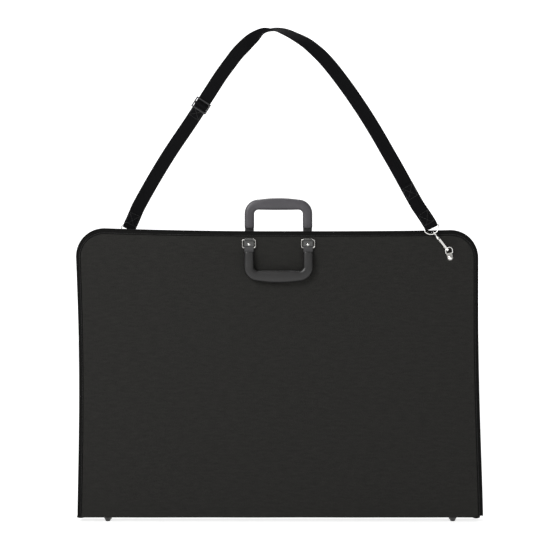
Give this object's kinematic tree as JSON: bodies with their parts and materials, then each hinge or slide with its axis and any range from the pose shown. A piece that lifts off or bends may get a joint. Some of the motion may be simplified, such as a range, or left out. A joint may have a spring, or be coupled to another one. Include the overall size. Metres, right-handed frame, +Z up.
{
  "type": "portfolio case",
  "caption": "Rigid fabric-covered portfolio case with a zipped gusset, two ring-hung handles, a twisted webbing shoulder strap on snap hooks, and moulded feet.",
  "frame": {"origin": "on the floor under the middle of the case", "axes": "+X to the right of someone facing the front, -Y out of the front face, +Z up"},
  "size_m": [0.89, 0.0765, 1.092],
  "materials": {
    "woven_shell": "fine plain weave over board, matt",
    "binding": "woven edge binding, matt",
    "lining": "smooth lining cloth",
    "board": "pressed fibreboard",
    "zip_tape": "zip tape",
    "zip_teeth": "moulded zip coil",
    "zip_metal": "black enamelled zinc",
    "nickel": "bright nickel plate",
    "grip": "soft moulded grip, satin",
    "core": "moulded nylon, satin",
    "foot": "moulded plastic",
    "steel": "zinc plated steel",
    "webbing": "black polyester webbing",
    "black_plastic": "moulded acetal",
    "elastic": "woven elastic"
  },
  "bodies": {
    "spine": {"spine_board": "board", "spine_cover": "woven_shell", "foot_front_left": "foot", "foot_front_right": "foot", "foot_back_left": "foot", "foot_back_right": "foot", "foot_screws": "steel"},
    "front_panel": {"front_board": "board", "front_cover": "woven_shell", "front_lining": "lining", "front_binding": "binding", "front_gusset": "woven_shell", "front_zip_tape": "zip_tape", "front_zip_teeth": "zip_teeth", "front_handle_chapes": "nickel", "front_handle_rivets": "nickel", "front_anchor_chape": "nickel", "front_anchor_rivet": "nickel", "front_elastic_bands": "elastic"},
    "front_handle_rings": {"front_handle_ring_left": "nickel", "front_handle_ring_right": "nickel"},
    "front_handle": {"front_handle_core": "core", "front_handle_cover": "grip"},
    "front_anchor_ring": {"front_anchor_ring": "nickel"},
    "front_hook": {"front_hook": "nickel", "front_hook_pin": "nickel"},
    "front_hook_gate": {"front_hook_gate": "nickel"},
    "front_hook_swivel": {"front_hook_swivel": "nickel"},
    "back_panel": {"back_board": "board", "back_cover": "woven_shell", "back_lining": "lining", "back_binding": "binding", "back_gusset": "woven_shell", "back_zip_tape": "zip_tape", "back_zip_teeth": "zip_teeth", "back_handle_chapes": "nickel", "back_handle_rivets": "nickel", "back_anchor_chape": "nickel", "back_anchor_rivet": "nickel", "back_document_pocket": "lining"},
    "back_handle_rings": {"back_handle_ring_left": "nickel", "back_handle_ring_right": "nickel"},
    "back_handle": {"back_handle_core": "core", "back_handle_cover": "grip"},
    "back_anchor_ring": {"back_anchor_ring": "nickel"},
    "back_hook": {"back_hook": "nickel", "back_hook_pin": "nickel"},
    "back_hook_gate": {"back_hook_gate": "nickel"},
    "back_hook_swivel": {"back_hook_swivel": "nickel"},
    "strap": {"strap_webbing": "webbing", "strap_end_right": "webbing", "strap_end_left": "webbing", "strap_adjuster": "black_plastic"},
    "strap_dring_right": {"strap_dring_right": "nickel"},
    "strap_dring_left": {"strap_dring_left": "nickel"},
    "zip_slider_left": {"zip_slider_left": "zip_metal"},
    "zip_puller_left": {"zip_puller_left": "zip_metal"},
    "zip_slider_right": {"zip_slider_right": "zip_metal"},
    "zip_puller_right": {"zip_puller_right": "zip_metal"}
  },
  "joints": [
    {"name": "front_panel_open", "type": "hinge", "parent": "spine", "child": "front_panel", "pos_m": [0, -0.022, 0.01315], "axis": [1, 0, 0], "range_deg": [0, 90]},
    {"name": "front_handle_ring_swing", "type": "hinge", "parent": "front_panel", "child": "front_handle_rings", "pos_m": [0, -0.02606, 0.6215], "axis": [-1, 0, 0], "range_deg": [0, 176]},
    {"name": "front_handle_tilt", "type": "hinge", "parent": "front_handle_rings", "child": "front_handle", "pos_m": [0, -0.02606, 0.6038], "axis": [-1, 0, 0], "range_deg": [0, 4]},
    {"name": "front_anchor_ring_tilt", "type": "hinge", "parent": "front_panel", "child": "front_anchor_ring", "pos_m": [0.37602, -0.02446, 0.59129], "axis": [0.9781, 0, 0.2079], "range_deg": [-2, 2]},
    {"name": "front_hook_turn", "type": "hinge", "parent": "front_panel", "child": "front_hook", "pos_m": [0.36844, -0.03111, 0.60146], "axis": [-0.617, 0, 0.7869], "range_deg": [-4, 4]},
    {"name": "front_hook_gate_press", "type": "hinge", "parent": "front_hook", "child": "front_hook_gate", "pos_m": [0.35579, -0.02611, 0.61759], "axis": [-0.7869, 0, -0.617], "range_deg": [0, 24], "stiffness_Nm_per_rad": 0.01, "springref_deg": -11.46},
    {"name": "front_hook_swivel_turn", "type": "hinge", "parent": "front_hook", "child": "front_hook_swivel", "pos_m": [0.36844, -0.03111, 0.60146], "axis": [-0.617, 0, 0.7869], "range_deg": [-7, 7]},
    {"name": "back_panel_open", "type": "hinge", "parent": "spine", "child": "back_panel", "pos_m": [0, 0.022, 0.01315], "axis": [-1, 0, 0], "range_deg": [0, 90]},
    {"name": "back_handle_ring_swing", "type": "hinge", "parent": "back_panel", "child": "back_handle_rings", "pos_m": [0, 0.02606, 0.6215], "axis": [1, 0, 0], "range_deg": [-176, 0]},
    {"name": "back_handle_tilt", "type": "hinge", "parent": "back_handle_rings", "child": "back_handle", "pos_m": [0, 0.02606, 0.6392], "axis": [-1, 0, 0], "range_deg": [-4, 0]},
    {"name": "back_anchor_ring_tilt", "type": "hinge", "parent": "back_panel", "child": "back_anchor_ring", "pos_m": [-0.37602, 0.02446, 0.59129], "axis": [-0.9781, 0, 0.2079], "range_deg": [-2, 2]},
    {"name": "back_hook_turn", "type": "hinge", "parent": "back_panel", "child": "back_hook", "pos_m": [-0.36844, 0.03111, 0.60146], "axis": [0.617, 0, 0.7869], "range_deg": [-4, 4]},
    {"name": "back_hook_gate_press", "type": "hinge", "parent": "back_hook", "child": "back_hook_gate", "pos_m": [-0.35579, 0.02611, 0.61759], "axis": [0.7869, 0, -0.617], "range_deg": [0, 24], "stiffness_Nm_per_rad": 0.01, "springref_deg": -11.46},
    {"name": "back_hook_swivel_turn", "type": "hinge", "parent": "back_hook", "child": "back_hook_swivel", "pos_m": [-0.36844, 0.03111, 0.60146], "axis": [0.617, 0, 0.7869], "range_deg": [-7, 7]},
    {"name": "strap_swing", "type": "hinge", "parent": "front_panel", "child": "strap", "pos_m": [0, 0, 0.63475], "axis": [0.9959, -0.0905, 0], "range_deg": [-20, 20]},
    {"name": "strap_dring_right_tilt", "type": "hinge", "parent": "strap", "child": "strap_dring_right", "pos_m": [0.33545, -0.03111, 0.64863], "axis": [0.8957, 0, 0.4446], "range_deg": [-2, 2]},
    {"name": "strap_dring_left_tilt", "type": "hinge", "parent": "strap", "child": "strap_dring_left", "pos_m": [-0.33545, 0.03111, 0.64863], "axis": [-0.8957, 0, 0.4446], "range_deg": [-2, 2]},
    {"name": "zip_slider_left_run", "type": "slide", "parent": "front_panel", "child": "zip_slider_left", "axis": [-1, 0, 0], "range_m": [0, 0.33]},
    {"name": "zip_puller_left_flip", "type": "hinge", "parent": "zip_slider_left", "child": "zip_puller_left", "pos_m": [-0.035, 0, 0.63905], "axis": [0, 1, 0], "range_deg": [0, 165]},
    {"name": "zip_slider_right_run", "type": "slide", "parent": "front_panel", "child": "zip_slider_right", "axis": [1, 0, 0], "range_m": [0, 0.33]},
    {"name": "zip_puller_right_flip", "type": "hinge", "parent": "zip_slider_right", "child": "zip_puller_right", "pos_m": [0.035, 0, 0.63905], "axis": [0, -1, 0], "range_deg": [0, 165]}
  ]
}
